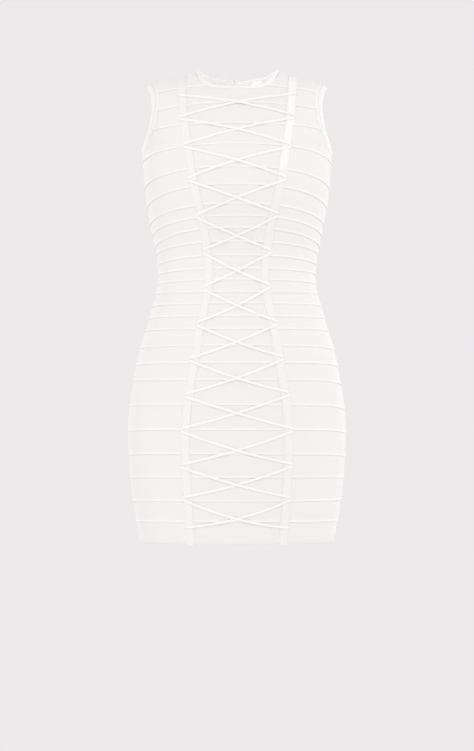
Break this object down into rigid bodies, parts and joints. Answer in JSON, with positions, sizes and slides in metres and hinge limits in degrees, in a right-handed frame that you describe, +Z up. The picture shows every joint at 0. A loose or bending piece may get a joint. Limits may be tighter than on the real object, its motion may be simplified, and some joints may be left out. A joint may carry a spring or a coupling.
{
  "type": "bodycon dress",
  "caption": "Sleeveless bandage mini dress with a high round neck and crossed lacing down the front, hollow as worn, closed by a zip down the back.",
  "frame": {"origin": "midway between the two shoulder seams, at the height of their middles, where shoulders or a hanger hold the dress up", "axes": "+Z up from the hem to the neck, -Y out of the laced front, +X to the right as seen from the front"},
  "size_m": [0.376, 0.258, 0.8107],
  "materials": {
    "bandage_knit": "matte",
    "rib_tape": "matte",
    "lace_knit": "matte",
    "zip_chain": "matte",
    "coated_metal": "satin",
    "label_satin": "satin"
  },
  "bodies": {
    "dress": {"armhole_binding_left": "rib_tape", "armhole_binding_right": "rib_tape", "back_left": "bandage_knit", "back_right": "bandage_knit", "eye": "coated_metal", "front_centre": "bandage_knit", "front_side_left": "bandage_knit", "front_side_right": "bandage_knit", "hook": "coated_metal", "lace_over_01": "lace_knit", "lace_over_02": "lace_knit", "lace_over_03": "lace_knit", "lace_over_04": "lace_knit", "lace_over_05": "lace_knit", "lace_over_06": "lace_knit", "lace_over_07": "lace_knit", "lace_over_08": "lace_knit", "lace_over_09": "lace_knit", "lace_over_10": "lace_knit", "lace_over_11": "lace_knit", "lace_over_12": "lace_knit", "lace_over_13": "lace_knit", "lace_under_01": "lace_knit", "lace_under_02": "lace_knit", "lace_under_03": "lace_knit", "lace_under_04": "lace_knit", "lace_under_05": "lace_knit", "lace_under_06": "lace_knit", "lace_under_07": "lace_knit", "lace_under_08": "lace_knit", "lace_under_09": "lace_knit", "lace_under_10": "lace_knit", "lace_under_11": "lace_knit", "lace_under_12": "lace_knit", "lace_under_13": "lace_knit", "neck_binding": "rib_tape", "neck_label": "label_satin", "tape_left": "rib_tape", "tape_right": "rib_tape", "zip_chain": "zip_chain", "zip_slider": "coated_metal"},
    "pull": {"zip_pull": "coated_metal"}
  },
  "joints": [
    {"name": "pull_swing", "type": "hinge", "parent": "dress", "child": "pull", "pos_m": [0, 0.07777, -0.01852], "axis": [1, 0, 0], "range_deg": [0, 140]}
  ]
}
